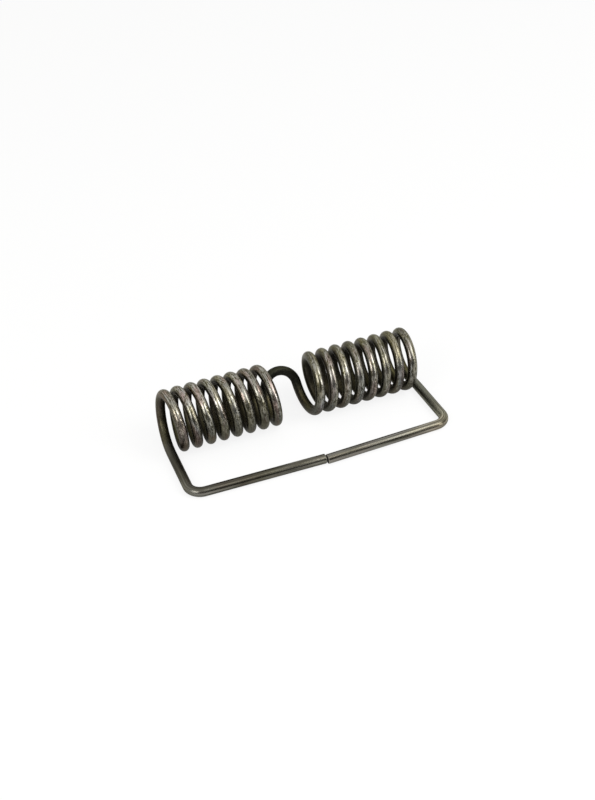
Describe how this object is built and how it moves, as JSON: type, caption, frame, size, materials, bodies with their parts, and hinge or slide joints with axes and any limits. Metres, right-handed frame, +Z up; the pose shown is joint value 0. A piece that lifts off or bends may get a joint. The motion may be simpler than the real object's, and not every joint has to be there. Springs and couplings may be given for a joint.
{
  "type": "double torsion spring",
  "caption": "Double torsion spring bent from one round wire: two opposite-hand coils on one axis, an arched bridge between them, and two legs folded into a closed bail.",
  "frame": {"origin": "on the coils' common axis, in the middle of the bridge between them", "axes": "+X along the coils' axis, +Y from the bail to the back, +Z up from the surface that the legs and the bail lie on"},
  "size_m": [0.0993, 0.0468, 0.0232],
  "materials": {
    "spring_steel": "oil-tempered spring wire, dark olive-grey scale with a dull sheen, drawn streaks along the wire and brighter scuffs on the coils"
  },
  "bodies": {
    "root": {"spring_wire": "spring_steel"}
  },
  "joints": []
}
